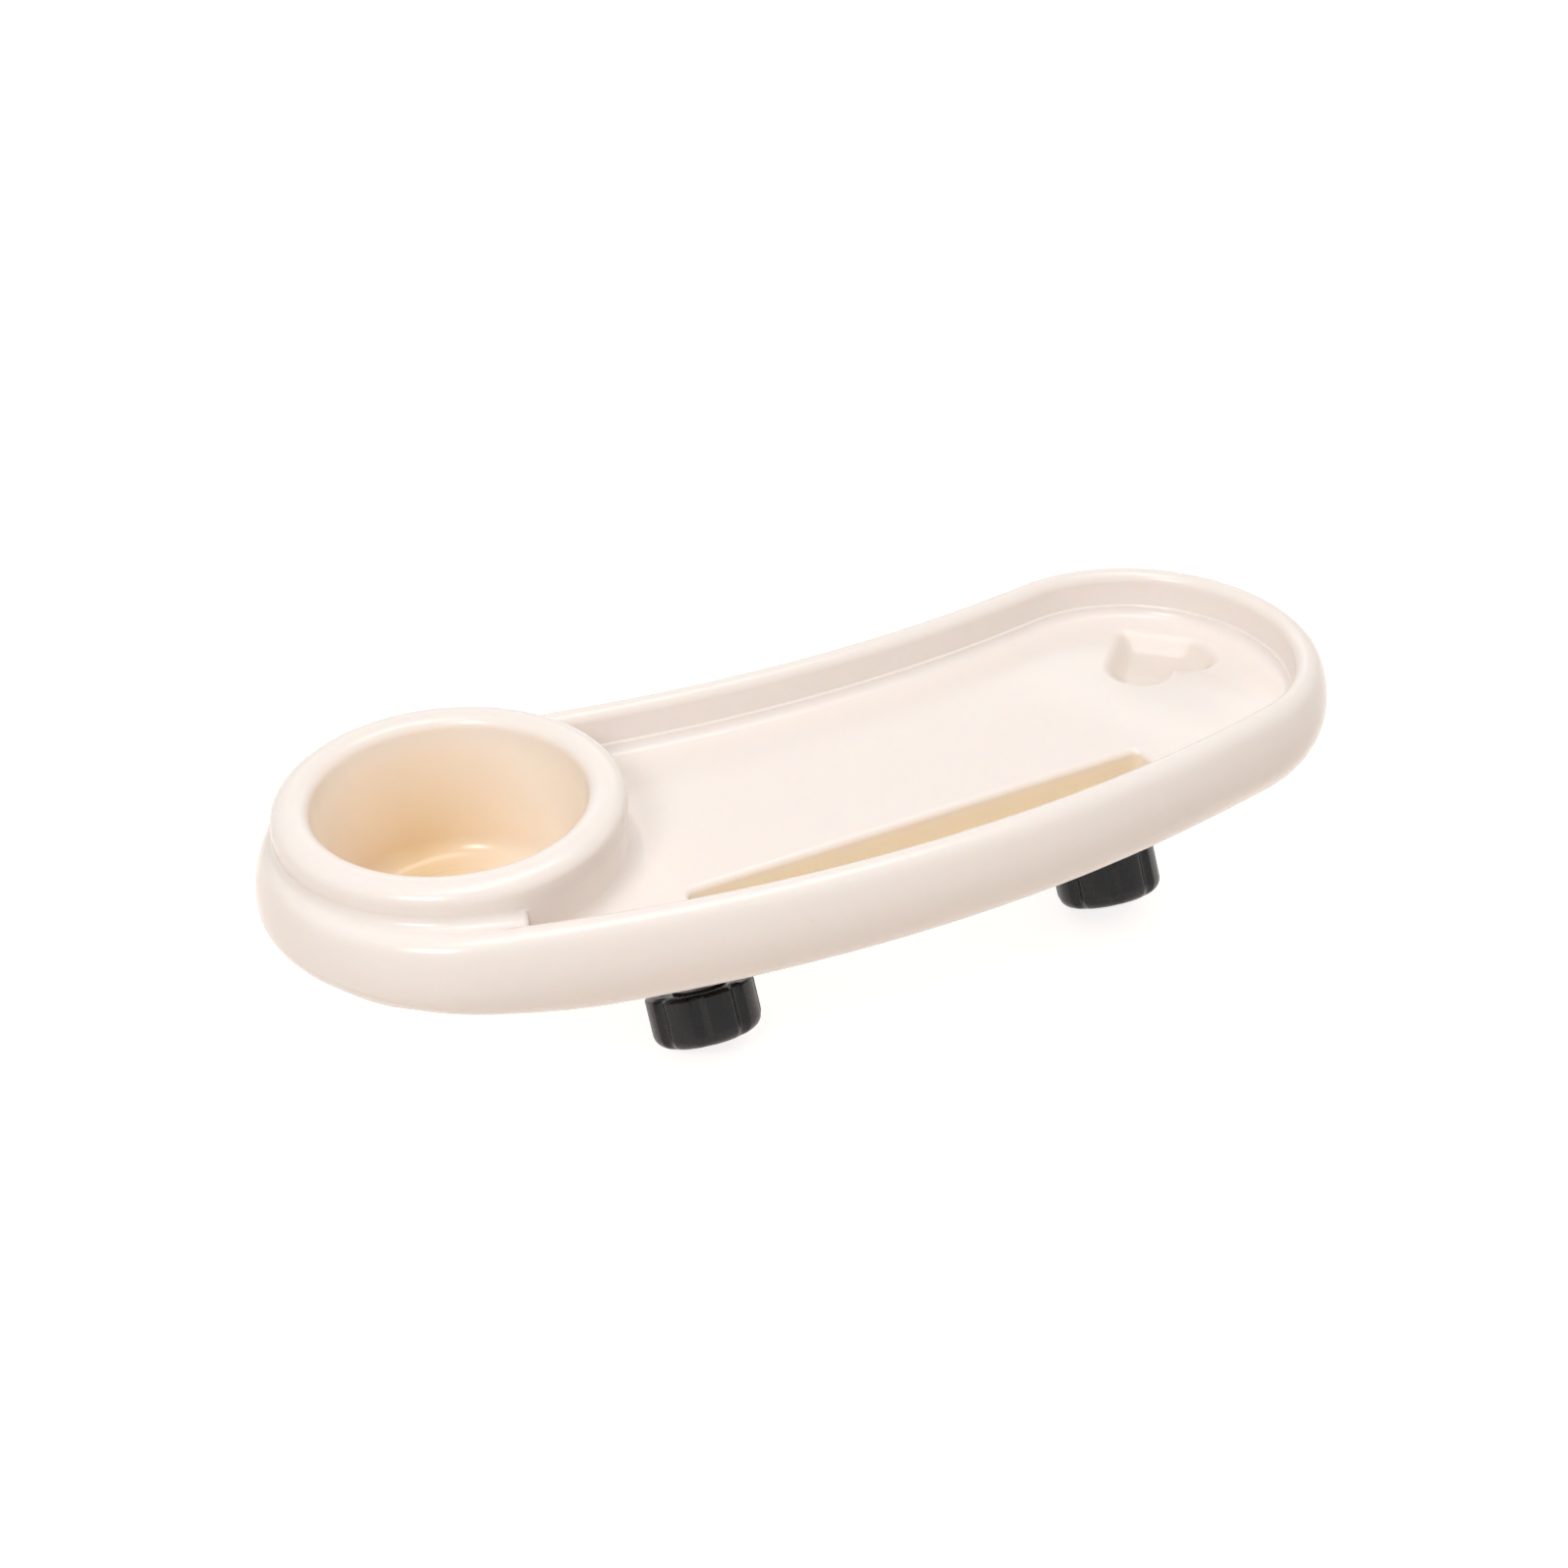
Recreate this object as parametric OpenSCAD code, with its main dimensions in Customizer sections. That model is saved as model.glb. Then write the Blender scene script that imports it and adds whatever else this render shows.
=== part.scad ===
// Snack tray for a stroller bumper bar: a moulded bean-shaped deck with a cup well,
// a phone slot and a heart recess, held on the bar by two knob clamps.
// The origin is on the bar's axis, midway between the clamps; +X runs along the bar,
// +Y to the rear, away from the phone slot, and +Z up.

/* [Deck outline] */
// Radius of the outline at the cup end
cup_end_r = 65.4; // [60:0.1:72]
// Radius of the outline at the plain end
plain_end_r = 64.6; // [58:0.1:70]
// Distance along X between the two end centres
end_span = 245; // [225:1:265]
// How far the plain end's centre lies in front of the cup end's centre
end_shift = 9.5; // [0:0.5:14]
// Radius of the bulging front edge
front_r = 528; // [420:1:700]
// Radius of the hollow rear edge
rear_r = 508; // [420:1:700]
// Cup end's centre, measured in front of the bar's axis
cup_end_y = 6.2; // [0:0.1:12]

/* [Deck section] */
// Height of the deck's upper face above the bar's axis
deck_z = 36.3; // [34.5:0.1:44]
// Wall thickness of the moulding
wall = 2.6; // [2:0.1:3]
// Height of the rim above the deck
rim_h = 16.4; // [13:0.1:22]
// Height of the widest line of the skirt above the deck
wide_h = 0.3; // [-2:0.1:3]
// Distance from the outline in to the top of the rim
crest_in = 8.5; // [7.5:0.1:11]
// Outer radius of the rim's crest
crest_r = 6; // [5:0.1:7]
// Radius of the rim's inner edge
rim_edge_r = 3.3; // [3:0.1:5]
// Radius of the skirt's tucked-in lower part
skirt_r = 23.5; // [21:0.1:26]
// Angle over which the skirt tucks in
skirt_turn = 72; // [55:1:80]
// Fillet between the rim's wall and the deck
foot_r = 3.5; // [2:0.1:5]
// Ledge at the top of that fillet
foot_step = 0.6; // [0.2:0.1:1.2]

/* [Cup well] */
// Cup centre, to the left of the cup end's centre
cup_dx = 3; // [0:0.1:5]
// Cup centre, behind the cup end's centre
cup_dy = 4.2; // [0:0.1:6]
// Outer radius of the cup's wall under the lip
cup_r = 54.2; // [50:0.1:56]
// Outer radius of the cup's wall at its base
cup_base_r = 53.4; // [48:0.1:54]
// Width of the lip
lip_w = 12; // [10:0.1:16]
// Height of the lip's rounded top
lip_h = 5; // [3:0.1:7]
// Height of the lip above the deck
lip_z = 27.5; // [24:0.1:34]
// Depth from the deck's upper face to the cup's base
base_drop = 22.6; // [22.3:0.1:24]
// Radius of the well at its bottom
well_r = 35.5; // [32:0.1:38]
// Fillet at the bottom of the well
well_fillet = 8; // [4:0.5:12]
// Height above the deck of the web between the cup and the rim
web_h = 12.6; // [9:0.1:14]

/* [Phone slot] */
// Length of the slot
slot_l = 167; // [140:1:172]
// Width of the slot
slot_w = 12; // [9:0.5:12.5]
// Depth of the slot below the deck
slot_d = 18; // [12:0.5:19]
// Middle of the slot, to the left of the middle between the clamps
slot_x = 16; // [8:0.5:24]
// Rear edge of the slot, in front of the bar's axis
slot_y = 48.9; // [46:0.1:50]
// Corner radius of the slot
slot_corner = 2; // [1:0.5:4]

/* [Heart recess] */
// Middle of the heart, to the right of the plain end's centre
heart_dx = 18; // [12:0.1:22]
// Line through the heart's lobe centres, behind the plain end's centre
heart_dy = 10.6; // [4:0.1:15]
// Radius of a lobe
heart_lobe = 12; // [9:0.1:13]
// Distance from the heart's middle line to a lobe's centre
heart_half = 10.2; // [7:0.1:10.6]
// Distance from the lobe centres to the tip
heart_tip = 27.5; // [22:0.1:29]
// Depth of the recess
heart_d = 6; // [4.5:0.1:8]
// How much of its size the heart keeps at its bottom
heart_taper = 0.66; // [0.5:0.01:0.9]

/* [Clamps] */
// Diameter of the bar that the clamps hold
bar_d = 22; // [20:0.1:22]
// Distance along the bar from the cup end's centre to the left clamp
clamp_in_left = 72.1; // [70:0.1:76]
// Distance along the bar from the right clamp to the plain end's centre
clamp_in_right = 9.9; // [8:0.1:14]
// Lean of the clamp screws from upright
tilt = 27; // [20:1:32]
// Width of a bracket along the bar
bracket_w = 26; // [22:0.5:28]
// Thickness of the jaw behind its liner
jaw_t = 4.5; // [3:0.1:5]
// Thickness of the spine behind the bar
spine_t = 6.2; // [5:0.1:8]
// Thickness of the arm that carries the nut
arm_t = 7.5; // [7:0.1:9]
// Reach of the arm in front of the screw
arm_reach = 12.5; // [10:0.5:14]
// Thickness of the flange under the deck
flange_t = 4; // [3:0.1:5]
// Thickness of the rubber liner
liner_t = 1.5; // [1:0.1:1.8]
// Length of the screw posts under the deck
post_l = 8; // [7:0.1:9]

/* [Clamp screws] */
// Radius of the pressure foot
foot_disc_r = 8.5; // [7:0.1:9]
// Thickness of the pressure foot
foot_t = 4; // [3.6:0.1:5]
// Thickness of the foot's rubber pad
pad_t = 1.5; // [1:0.1:2]
// Travel left between the foot and the arm
foot_room = 3; // [2.9:0.1:4]
// Travel left between the knob and the arm
knob_room = 6.2; // [6:0.1:8]
// Radius of the threaded stud
stud_r = 4; // [3:0.1:4]
// Width of the nut across its flats
nut_af = 13; // [12:0.1:14]
// Thickness of the nut
nut_t = 5.5; // [4:0.1:6]
// Running clearance of the stud in the nut and the foot
run_gap = 0.05; // [0.03:0.01:0.08]

/* [Knobs] */
// Outer radius of a knob
knob_r = 18.8; // [16:0.1:20]
// Height of a knob
knob_h = 18.7; // [16:0.1:22]
// Radius of the knob's lower edge
knob_edge_r = 5; // [3:0.1:7]
// Number of finger flutes
flutes = 8; // [6:1:12]
// Radius of a flute
flute_r = 3.5; // [2.5:0.1:4.5]
// Depth of a flute
flute_d = 1.15; // [0.5:0.05:1.6]

/* [Hidden] */
eps = 0.01;
cream = [0.96, 0.92, 0.87];
black = [0.10, 0.10, 0.11];
rubber = [0.17, 0.17, 0.18];
steel = [0.72, 0.73, 0.75];

// The clamps stand at fixed distances from the two ends
clamp_pitch = end_span - clamp_in_left - clamp_in_right;

// Centres of the four arcs that make the outline
cup_end = [-clamp_pitch / 2 - clamp_in_left, -cup_end_y];
plain_end = [cup_end[0] + end_span, cup_end[1] - end_shift];
front_c = meet(cup_end, front_r - cup_end_r, plain_end, front_r - plain_end_r);
rear_c = meet(cup_end, rear_r + cup_end_r, plain_end, rear_r + plain_end_r);
// Directions in which the arcs join
join_front_cup = heading(front_c, cup_end);
join_front_plain = heading(front_c, plain_end);
join_rear_cup = heading(cup_end, rear_c);
join_rear_plain = heading(plain_end, rear_c);

// Section of the rim and skirt
rim_top = deck_z + rim_h;
wide_z = deck_z + wide_h;
side_h = rim_top - crest_r - wide_z;
side_r = (pow(crest_in, 2) + pow(side_h, 2) - pow(crest_r, 2)) / (2 * (crest_in - crest_r));
side_end = atan2(side_h, crest_in - side_r);
wall_in = crest_in + rim_edge_r;
deck_under = deck_z - wall;
ledge_in = wall_in + foot_step;
flat_in = ledge_in + foot_r;
plate_in = ledge_in + foot_r / 2;
end_steps = 24;
edge_steps = 9;
round_fn = 54;

// Cup
cup_c = [cup_end[0] - cup_dx, cup_end[1] + cup_dy];
lip_top = deck_z + lip_z;
base_z = deck_z - base_drop;
lip_mid_r = cup_r - lip_w / 2;
mouth_r = cup_r - lip_w;
lip_low = lip_top - lip_h;
well_z = base_z + 1 + wall;
web_z = deck_z + web_h;
web_r = cup_end_r - crest_in;
web_from = 80;
web_to = 270;
web_end = 3;

// Middle of the heart
heart_c = plain_end + [heart_dx, heart_dy];

// Phone slot
slot_box_w = slot_w + 2 * wall;
slot_box_l = slot_l + 2 * wall;
slot_mid = [-slot_x, -slot_y - slot_w / 2];

// Clamp, from the bar's axis outwards along the screw
bar_r = bar_d / 2;
seat_r = bar_r + liner_t;
jaw_r = seat_r + jaw_t;
jaw_from = -30;
jaw_to = 112;
spine_in = seat_r + 0.3;
grip_gap = 0.1;
pad_top = -bar_r - grip_gap;
foot_top = pad_top - pad_t;
foot_low = foot_top - foot_t;
arm_top = foot_low - foot_room;
arm_low = arm_top - arm_t;
knob_top = arm_low - knob_room;
knob_low = knob_top - knob_h;
nose_r = stud_r - 1.5;
nose_l = 2.5;
shoulder_gap = 0.2;
nose_gap = 0.3;
stud_in_knob = 12;
arm_bore_r = stud_r + 0.3;
nut_slack = 0.1;

// Bracket flange, its screws and the posts that take them
flange_top = deck_under - post_l;
flange_low = flange_top - flange_t;
flange_front = -19;
flange_rear = 31;
screw_dx = 8;
screw_ys = [-12.5, 24.5];
post_r = 3.8;
post_flare = 1;
screw_r = 1.5;
pilot_slack = 0.05;
screw_hole_r = 1.8;
screw_grip = post_l - 1.2;
screw_head_r = 3;
screw_head_h = 2.2;

// Ribs under the deck
rib_t = 1.8;
rib_h = 4;
rib_ys = [-24, 12];
rib_xs = [-42, -4, 34, 72, 108];

// The point behind two centres at distance ra from a and rb from b
function meet(a, ra, b, rb) =
    let (d = norm(b - a), ex = (b - a) / d, ey = [-ex[1], ex[0]],
         along = (ra * ra - rb * rb + d * d) / (2 * d))
    a + along * ex + sqrt(ra * ra - along * along) * ey;
function heading(from, to) = atan2(to[1] - from[1], to[0] - from[0]);
function arc(c, r, a0, a1, n) =
    [for (k = [0:n]) let (a = a0 + (a1 - a0) * k / n) c + r * [cos(a), sin(a)]];
function bend(c, r, a0, a1, n) = [for (k = [0:n - 1]) let (a = a0 + (a1 - a0) * k / n) c + r * [cos(a), sin(a)]];
function up(a, from) = a < from ? up(a + 360, from) : a;
function wedge(r, a0, a1) = concat([[0, 0]],
    [for (k = [0:8]) let (a = a0 + (a1 - a0) * k / 8) r * [sin(a), cos(a)]]);

// The outline moved in by a distance, as a closed list of points
function outline(inset) = concat(
    bend(cup_end, cup_end_r - inset, join_rear_cup, up(join_front_cup, join_rear_cup), end_steps),
    bend(front_c, front_r - inset, up(join_front_cup, 180), up(join_front_plain, 180), edge_steps),
    bend(plain_end, plain_end_r - inset, join_front_plain, up(join_rear_plain, join_front_plain), end_steps),
    bend(rear_c, rear_r + inset, join_rear_plain - 180, join_rear_cup - 180, edge_steps));

// Rim and skirt as [distance in from the outline, height], from the skirt's lower edge up and over
rim_section = concat(
    arc([skirt_r, wide_z], skirt_r, 180 + skirt_turn, 180, 6),
    arc([side_r, wide_z], side_r, 176, side_end, 2),
    arc([crest_in, rim_top - crest_r], crest_r, side_end - 20, 90, 4),
    arc([crest_in, rim_top - rim_edge_r], rim_edge_r, 65, 0, 3),
    [[wall_in, deck_z + foot_r + foot_step]],
    bend([flat_in, deck_z + foot_r], foot_r, 180, 270, 4),
    [[flat_in, deck_z - eps], [flat_in, deck_under], [wall_in - wall, deck_under]],
    arc([crest_in, rim_top - rim_edge_r], rim_edge_r - wall, 0, 65, 1),
    arc([crest_in, rim_top - crest_r], crest_r - wall, 90, side_end - 20, 2),
    arc([side_r, wide_z], side_r - wall, side_end, 176, 1),
    arc([skirt_r, wide_z], skirt_r - wall, 180, 180 + skirt_turn, 5));

// The section carried round the whole outline
module rim() {
    rings = [for (p = rim_section) outline(p[0])];
    n = len(rings[0]);
    m = len(rings);
    polyhedron(
        points = [for (i = [0:m - 1], q = rings[i]) [q[0], q[1], rim_section[i][1]]],
        faces = [for (i = [0:m - 1], j = [0:n - 1], half = [0, 1])
            let (a = i * n + j, b = i * n + (j + 1) % n,
                 c = (i + 1) % m * n + (j + 1) % n, d = (i + 1) % m * n + j)
            half == 0 ? [a, c, b] : [a, d, c]]);
}

module deck_plate() {
    translate([0, 0, deck_under + 2 * eps]) linear_extrude(wall - 2 * eps) polygon(outline(plate_in));
}

// Fills the groove between the cup and the rim on the cup end's outer half
module cup_web() {
    translate(cup_end) rotate(web_from) rotate_extrude(angle = web_to - web_from, $fn = round_fn)
        polygon(concat([[web_r - 12, web_z - wall], [web_r - 12, web_z]],
            arc([web_r - 3, web_z + 3], 3, 270, 340, 2),
            [[web_r, web_z + 2], [web_r, web_z - wall]]));
}

// Closes the web towards the deck pocket
module web_wall() {
    translate(cup_end) rotate(web_to - web_end) rotate_extrude(angle = web_end - 0.5, $fn = round_fn)
        translate([web_r - 12, deck_z - wall / 2]) square([10, web_h]);
}

// A rib inside the cup end's rim, where the cup's wall runs into the skirt
module cup_rib() {
    translate(cup_end) rotate(heading(cup_end, cup_c) - 1) rotate_extrude(angle = 2, $fn = round_fn)
        polygon(concat([for (k = [1:14]) [cup_end_r - rim_section[k][0] - 0.4, rim_section[k][1] - 0.2]],
            [[cup_end_r - wall_in - 1, rim_top - rim_edge_r], [cup_end_r - skirt_r, base_z + wall]]));
}

module cup_form() {
    translate(cup_c) rotate_extrude($fn = round_fn)
        polygon(concat([[0, base_z], [cup_base_r, base_z]],
            [for (a = [0:16:96]) [lip_mid_r + lip_w / 2 * cos(a), lip_low + lip_h * sin(a)]],
            [[0, lip_low + lip_h * sin(96)]]));
}

// The well that takes the cup, open upwards
module cup_hollow() {
    translate(cup_c) rotate_extrude($fn = round_fn)
        polygon(concat([[0, well_z]],
            arc([well_r - well_fillet, well_z + well_fillet], well_fillet, 270, 360, 4),
            [for (a = [180:-21:96]) [lip_mid_r + lip_w / 2 * cos(a), lip_low + lip_h * sin(a)]],
            [[lip_mid_r + lip_w / 2 * cos(96), lip_top + 5], [0, lip_top + 5]]));
}

// The space between the well and the cup's outer wall, open downwards
module cup_core() {
    in_low = well_r + wall;
    in_top = mouth_r + wall;
    translate(cup_c) rotate_extrude($fn = round_fn)
        polygon(concat([[0, base_z - 5], [cup_base_r - wall, base_z - 5], [cup_base_r - wall, base_z]],
            [for (a = [0:45:180])
                [lip_mid_r + (lip_w / 2 - wall) * cos(a), lip_low + (lip_h - wall) * sin(a)]],
            arc([in_low - well_fillet, well_z + well_fillet - wall], well_fillet, 360, 270, 2),
            [[0, well_z - wall]]));
}

module rounded_bar(size, r) {
    linear_extrude(size[2]) union() {
        square([size[0] - 2 * r, size[1]], center = true);
        square([size[0], size[1] - 2 * r], center = true);
        for (x = [-1, 1], y = [-1, 1])
            translate([x * (size[0] / 2 - r), y * (size[1] / 2 - r)]) circle(r = r, $fn = 24);
    }
}

module slot_box() {
    translate([slot_mid[0], slot_mid[1], deck_z - slot_d - wall])
        rounded_bar([slot_box_l, slot_box_w, slot_d + wall - eps], slot_corner + wall);
}

module slot_hollow() {
    translate([slot_mid[0], slot_mid[1], deck_z - slot_d])
        rounded_bar([slot_l, slot_w, slot_d + 5], slot_corner);
}

// A heart round its lobe centres, its tip to the rear
function heart(grow) =
    let (lobe = heart_lobe + grow, tip = [0, heart_tip + grow * 1.4],
         d = norm(tip - [heart_half, 0]), to_tip = heading([heart_half, 0], tip),
         touch = to_tip - acos(lobe / d), notch = -180 + acos(heart_half / lobe),
         right = arc([heart_half, 0], lobe, touch, notch, 16))
    concat([tip], right, [for (k = [len(right) - 2:-1:0]) [-right[k][0], right[k][1]]]);

module heart_form(grow, depth, over) {
    slope = (1 - heart_taper) / heart_d;
    widest = 1 + slope * over;
    translate([heart_c[0], heart_c[1], deck_z + over]) mirror([0, 0, 1])
        linear_extrude(depth + over, scale = (1 - slope * depth) / widest)
            scale(widest) polygon(heart(grow));
}

module each_screw() {
    for (x = [-screw_dx, screw_dx], y = screw_ys) translate([x, y, 0]) children();
}

module each_clamp() {
    for (side = [-1, 1]) translate([side * clamp_pitch / 2, 0, 0]) children();
}

module ribs() {
    intersection() {
        translate([0, 0, deck_under - rib_h]) linear_extrude(rib_h + wall / 2) polygon(outline(wall_in - 1));
        union() {
            for (y = rib_ys) translate([-end_span, y - rib_t / 2, 0]) cube([2 * end_span, rib_t, deck_z]);
            for (x = rib_xs) translate([x - rib_t / 2, -slot_y - eps, 0]) cube([rib_t, end_span, deck_z]);
        }
    }
}

// A screw post, flared a little where it meets the deck
module post() {
    translate([0, 0, flange_top]) hull() {
        cylinder(r = post_r, h = post_l - post_flare, $fn = 16);
        translate([0, 0, post_l - eps]) cylinder(r = post_r + post_flare, h = wall / 2, $fn = 16);
    }
}

module tray_body() color(cream) {
    difference() {
        union() {
            rim();
            deck_plate();
            cup_web();
            web_wall();
            cup_rib();
            cup_form();
            slot_box();
            ribs();
            heart_form(wall, heart_d + wall, -wall / 2);
            each_clamp() each_screw() post();
        }
        cup_hollow();
        cup_core();
        slot_hollow();
        heart_form(0, heart_d, 1);
        each_clamp() each_screw() translate([0, 0, flange_top - 1])
            cylinder(r = screw_r + pilot_slack, h = post_l + 0.7, $fn = 14);
    }
}

// Side view of a bracket: flange, post, jaw, spine and arm
module bracket_side() {
    difference() {
        union() {
            translate([flange_front, flange_low]) square([flange_rear - flange_front, flange_t]);
            translate([-1, 0]) square([jaw_r + 1, flange_low + eps]);
            rotate(-tilt) {
                intersection() {
                    circle(r = jaw_r, $fn = 128);
                    polygon(wedge(2 * jaw_r, jaw_from, jaw_to));
                }
                translate([spine_in, arm_low]) square([spine_t, -arm_low]);
                translate([-arm_reach, arm_low]) square([arm_reach + spine_in + eps, arm_t]);
            }
        }
        circle(r = seat_r, $fn = 128);
    }
}

module bracket() color(black) {
    difference() {
        rotate([90, 0, 90]) linear_extrude(bracket_w, center = true) bracket_side();
        rotate([-tilt, 0, 0]) {
            translate([0, 0, arm_low - 1]) cylinder(r = arm_bore_r, h = arm_t + 2, $fn = 64);
            translate([0, 0, arm_top - nut_t])
                cylinder(r = (nut_af / 2 + nut_slack) / cos(30), h = nut_t + 1, $fn = 6);
        }
        each_screw() translate([0, 0, flange_low - 1])
            cylinder(r = screw_hole_r, h = flange_t + 2, $fn = 32);
    }
}

module bracket_screws() color(steel) {
    each_screw() difference() {
        union() {
            translate([0, 0, flange_low - screw_head_h])
                cylinder(r1 = screw_head_r - 0.5, r2 = screw_head_r, h = screw_head_h, $fn = 48);
            translate([0, 0, flange_low - eps])
                cylinder(r = screw_r, h = flange_t + screw_grip, $fn = 32);
        }
        for (a = [0, 90]) rotate(a) translate([-1.8, -0.35, flange_low - screw_head_h - 1])
            cube([3.6, 0.7, 2.2]);
    }
}

module jaw_liner() color(rubber) {
    rotate([90, 0, 90]) linear_extrude(bracket_w, center = true) rotate(-tilt)
        difference() {
            intersection() {
                circle(r = seat_r, $fn = 128);
                polygon(wedge(2 * seat_r, jaw_from, jaw_to));
            }
            circle(r = bar_r, $fn = 128);
        }
}

module nut() color(steel) {
    rotate([-tilt, 0, 0]) translate([0, 0, arm_top - nut_t]) difference() {
        cylinder(r = nut_af / 2 / cos(30), h = nut_t, $fn = 6);
        translate([0, 0, -1]) cylinder(r = stud_r + run_gap, h = nut_t + 2, $fn = 64);
    }
}

module foot() color(black) {
    rotate([-tilt, 0, 0]) difference() {
        rotate_extrude($fn = 96) polygon([[0, foot_low], [foot_disc_r - 1.5, foot_low],
            [foot_disc_r, foot_low + 1.5], [foot_disc_r, foot_top], [0, foot_top]]);
        translate([0, 0, foot_low - 1])
            cylinder(r = nose_r + run_gap, h = nose_l - shoulder_gap + nose_gap + 1, $fn = 48);
    }
}

module foot_pad() color(rubber) {
    rotate([-tilt, 0, 0]) translate([0, 0, foot_top])
        cylinder(r = foot_disc_r - 0.5, h = pad_t, $fn = 96);
}

module stud() color(steel) {
    shoulder = foot_low - shoulder_gap;
    rotate([-tilt, 0, 0]) rotate_extrude($fn = 64) polygon([[0, knob_top - stud_in_knob],
        [stud_r, knob_top - stud_in_knob], [stud_r, shoulder - 0.6], [stud_r - 0.6, shoulder],
        [nose_r, shoulder], [nose_r, shoulder + nose_l], [0, shoulder + nose_l]]);
}

module knob() color(black) {
    core_in = stud_r + 4;
    core_out = knob_r - 4.2;
    rotate([-tilt, 0, 0]) difference() {
        rotate_extrude($fn = 128) polygon(concat(
            [[0, knob_low + 0.8], [knob_r - knob_edge_r - 2, knob_low + 0.8],
             [knob_r - knob_edge_r - 1, knob_low]],
            arc([knob_r - knob_edge_r, knob_low + knob_edge_r], knob_edge_r, 270, 360, 10),
            [[knob_r - 0.4, knob_top - 1], [knob_r - 1.4, knob_top],
             [core_out, knob_top], [core_out - 0.5, knob_top - 9],
             [core_in + 0.5, knob_top - 9], [core_in, knob_top], [0, knob_top]]));
        translate([0, 0, knob_top - stud_in_knob]) cylinder(r = stud_r, h = stud_in_knob + 1, $fn = 64);
        for (k = [0:flutes - 1]) rotate(k * 360 / flutes)
            translate([knob_r + flute_r - flute_d, 0, knob_low - 1])
                cylinder(r = flute_r, h = knob_h + 2, $fn = 48);
    }
}

module at(side) { translate([side * clamp_pitch / 2, 0, 0]) children(); }

tray_body();
at(-1) bracket();  // left_bracket
at(-1) bracket_screws();  // left_bracket_screws
at(-1) jaw_liner();  // left_jaw_liner
at(-1) nut();  // left_nut
at(-1) foot();  // left_foot
at(-1) foot_pad();  // left_foot_pad
at(-1) stud();  // left_stud
at(-1) knob();  // left_knob
at(1) bracket();  // right_bracket
at(1) bracket_screws();  // right_bracket_screws
at(1) jaw_liner();  // right_jaw_liner
at(1) nut();  // right_nut
at(1) foot();  // right_foot
at(1) foot_pad();  // right_foot_pad
at(1) stud();  // right_stud
at(1) knob();  // right_knob
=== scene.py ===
import math

import bmesh
import bpy
from mathutils import Matrix, Vector


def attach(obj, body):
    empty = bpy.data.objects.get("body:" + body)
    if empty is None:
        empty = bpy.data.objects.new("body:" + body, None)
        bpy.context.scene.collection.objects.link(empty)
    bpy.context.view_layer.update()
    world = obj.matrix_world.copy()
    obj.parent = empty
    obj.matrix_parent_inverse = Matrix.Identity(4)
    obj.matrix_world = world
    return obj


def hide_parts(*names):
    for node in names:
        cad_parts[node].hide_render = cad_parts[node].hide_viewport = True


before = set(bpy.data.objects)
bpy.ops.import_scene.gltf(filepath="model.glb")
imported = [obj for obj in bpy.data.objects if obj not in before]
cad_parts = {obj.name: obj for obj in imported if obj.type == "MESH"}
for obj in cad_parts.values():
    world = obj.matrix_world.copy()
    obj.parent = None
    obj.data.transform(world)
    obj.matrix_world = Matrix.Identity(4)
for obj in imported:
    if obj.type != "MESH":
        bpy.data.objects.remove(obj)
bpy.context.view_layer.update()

mm = 0.001  # shapes are drawn in millimetres and scaled once, in makePiece
scene = bpy.context.scene
scene.view_settings.view_transform = "Standard"


# Lines, with angles in degrees

def polar(centre, r, a):
    return centre[0] + r * math.cos(math.radians(a)), centre[1] + r * math.sin(math.radians(a))


def arc(centre, r, a0, a1, n):
    return [polar(centre, r, a0 + (a1 - a0) * k / n) for k in range(n + 1)]


def heading(a, b):
    return math.degrees(math.atan2(b[1] - a[1], b[0] - a[0]))


def upFrom(a, start):
    while a < start:
        a += 360
    return a


def ease(value, span):  # 0 at the span's start, 1 at its end
    t = min(1.0, max(0.0, (value - span[0]) / (span[1] - span[0])))
    return t * t * (3 - 2 * t)


def meet(a, ra, b, rb):  # the point behind two centres at those distances
    d = math.dist(a, b)
    ex = ((b[0] - a[0]) / d, (b[1] - a[1]) / d)
    along = (ra * ra - rb * rb + d * d) / (2 * d)
    out = math.sqrt(ra * ra - along * along)
    return (a[0] + along * ex[0] - out * ex[1], a[1] + along * ex[1] + out * ex[0])


def spaced(points, n):  # the same line in n even steps
    lengths = [0.0]
    for a, b in zip(points, points[1:]):
        lengths.append(lengths[-1] + math.dist(a, b))
    out, i = [], 0
    for k in range(n + 1):
        s = lengths[-1] * k / n
        while i < len(points) - 2 and lengths[i + 1] < s:
            i += 1
        span = lengths[i + 1] - lengths[i]
        t = (s - lengths[i]) / span if span else 0
        out.append(tuple(a + (b - a) * t for a, b in zip(points[i], points[i + 1])))
    return out


# Edge loops and pieces

def neighbours(verts, closed=True):
    return list(zip(verts, verts[1:])) + ([(verts[-1], verts[0])] if closed else [])


def loopEdges(bm, verts, closed=True):
    return [bm.edges.get(pair) for pair in neighbours(verts, closed)]


def newLoop(bm, places):
    verts = [bm.verts.new(p) for p in places]
    for pair in neighbours(verts):
        bm.edges.new(pair)
    return verts


def pullLoop(bm, verts, places, closed=True):  # extrudes a loop of edges and sets it at its new places
    made = bmesh.ops.extrude_edge_only(bm, edges=loopEdges(bm, verts, closed))["geom"]
    fresh = {v for v in made if isinstance(v, bmesh.types.BMVert)}
    out = []
    for v, p in zip(verts, places):
        new = next(e.other_vert(v) for e in v.link_edges if e.other_vert(v) in fresh)
        new.co = p
        out.append(new)
    return out


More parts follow.
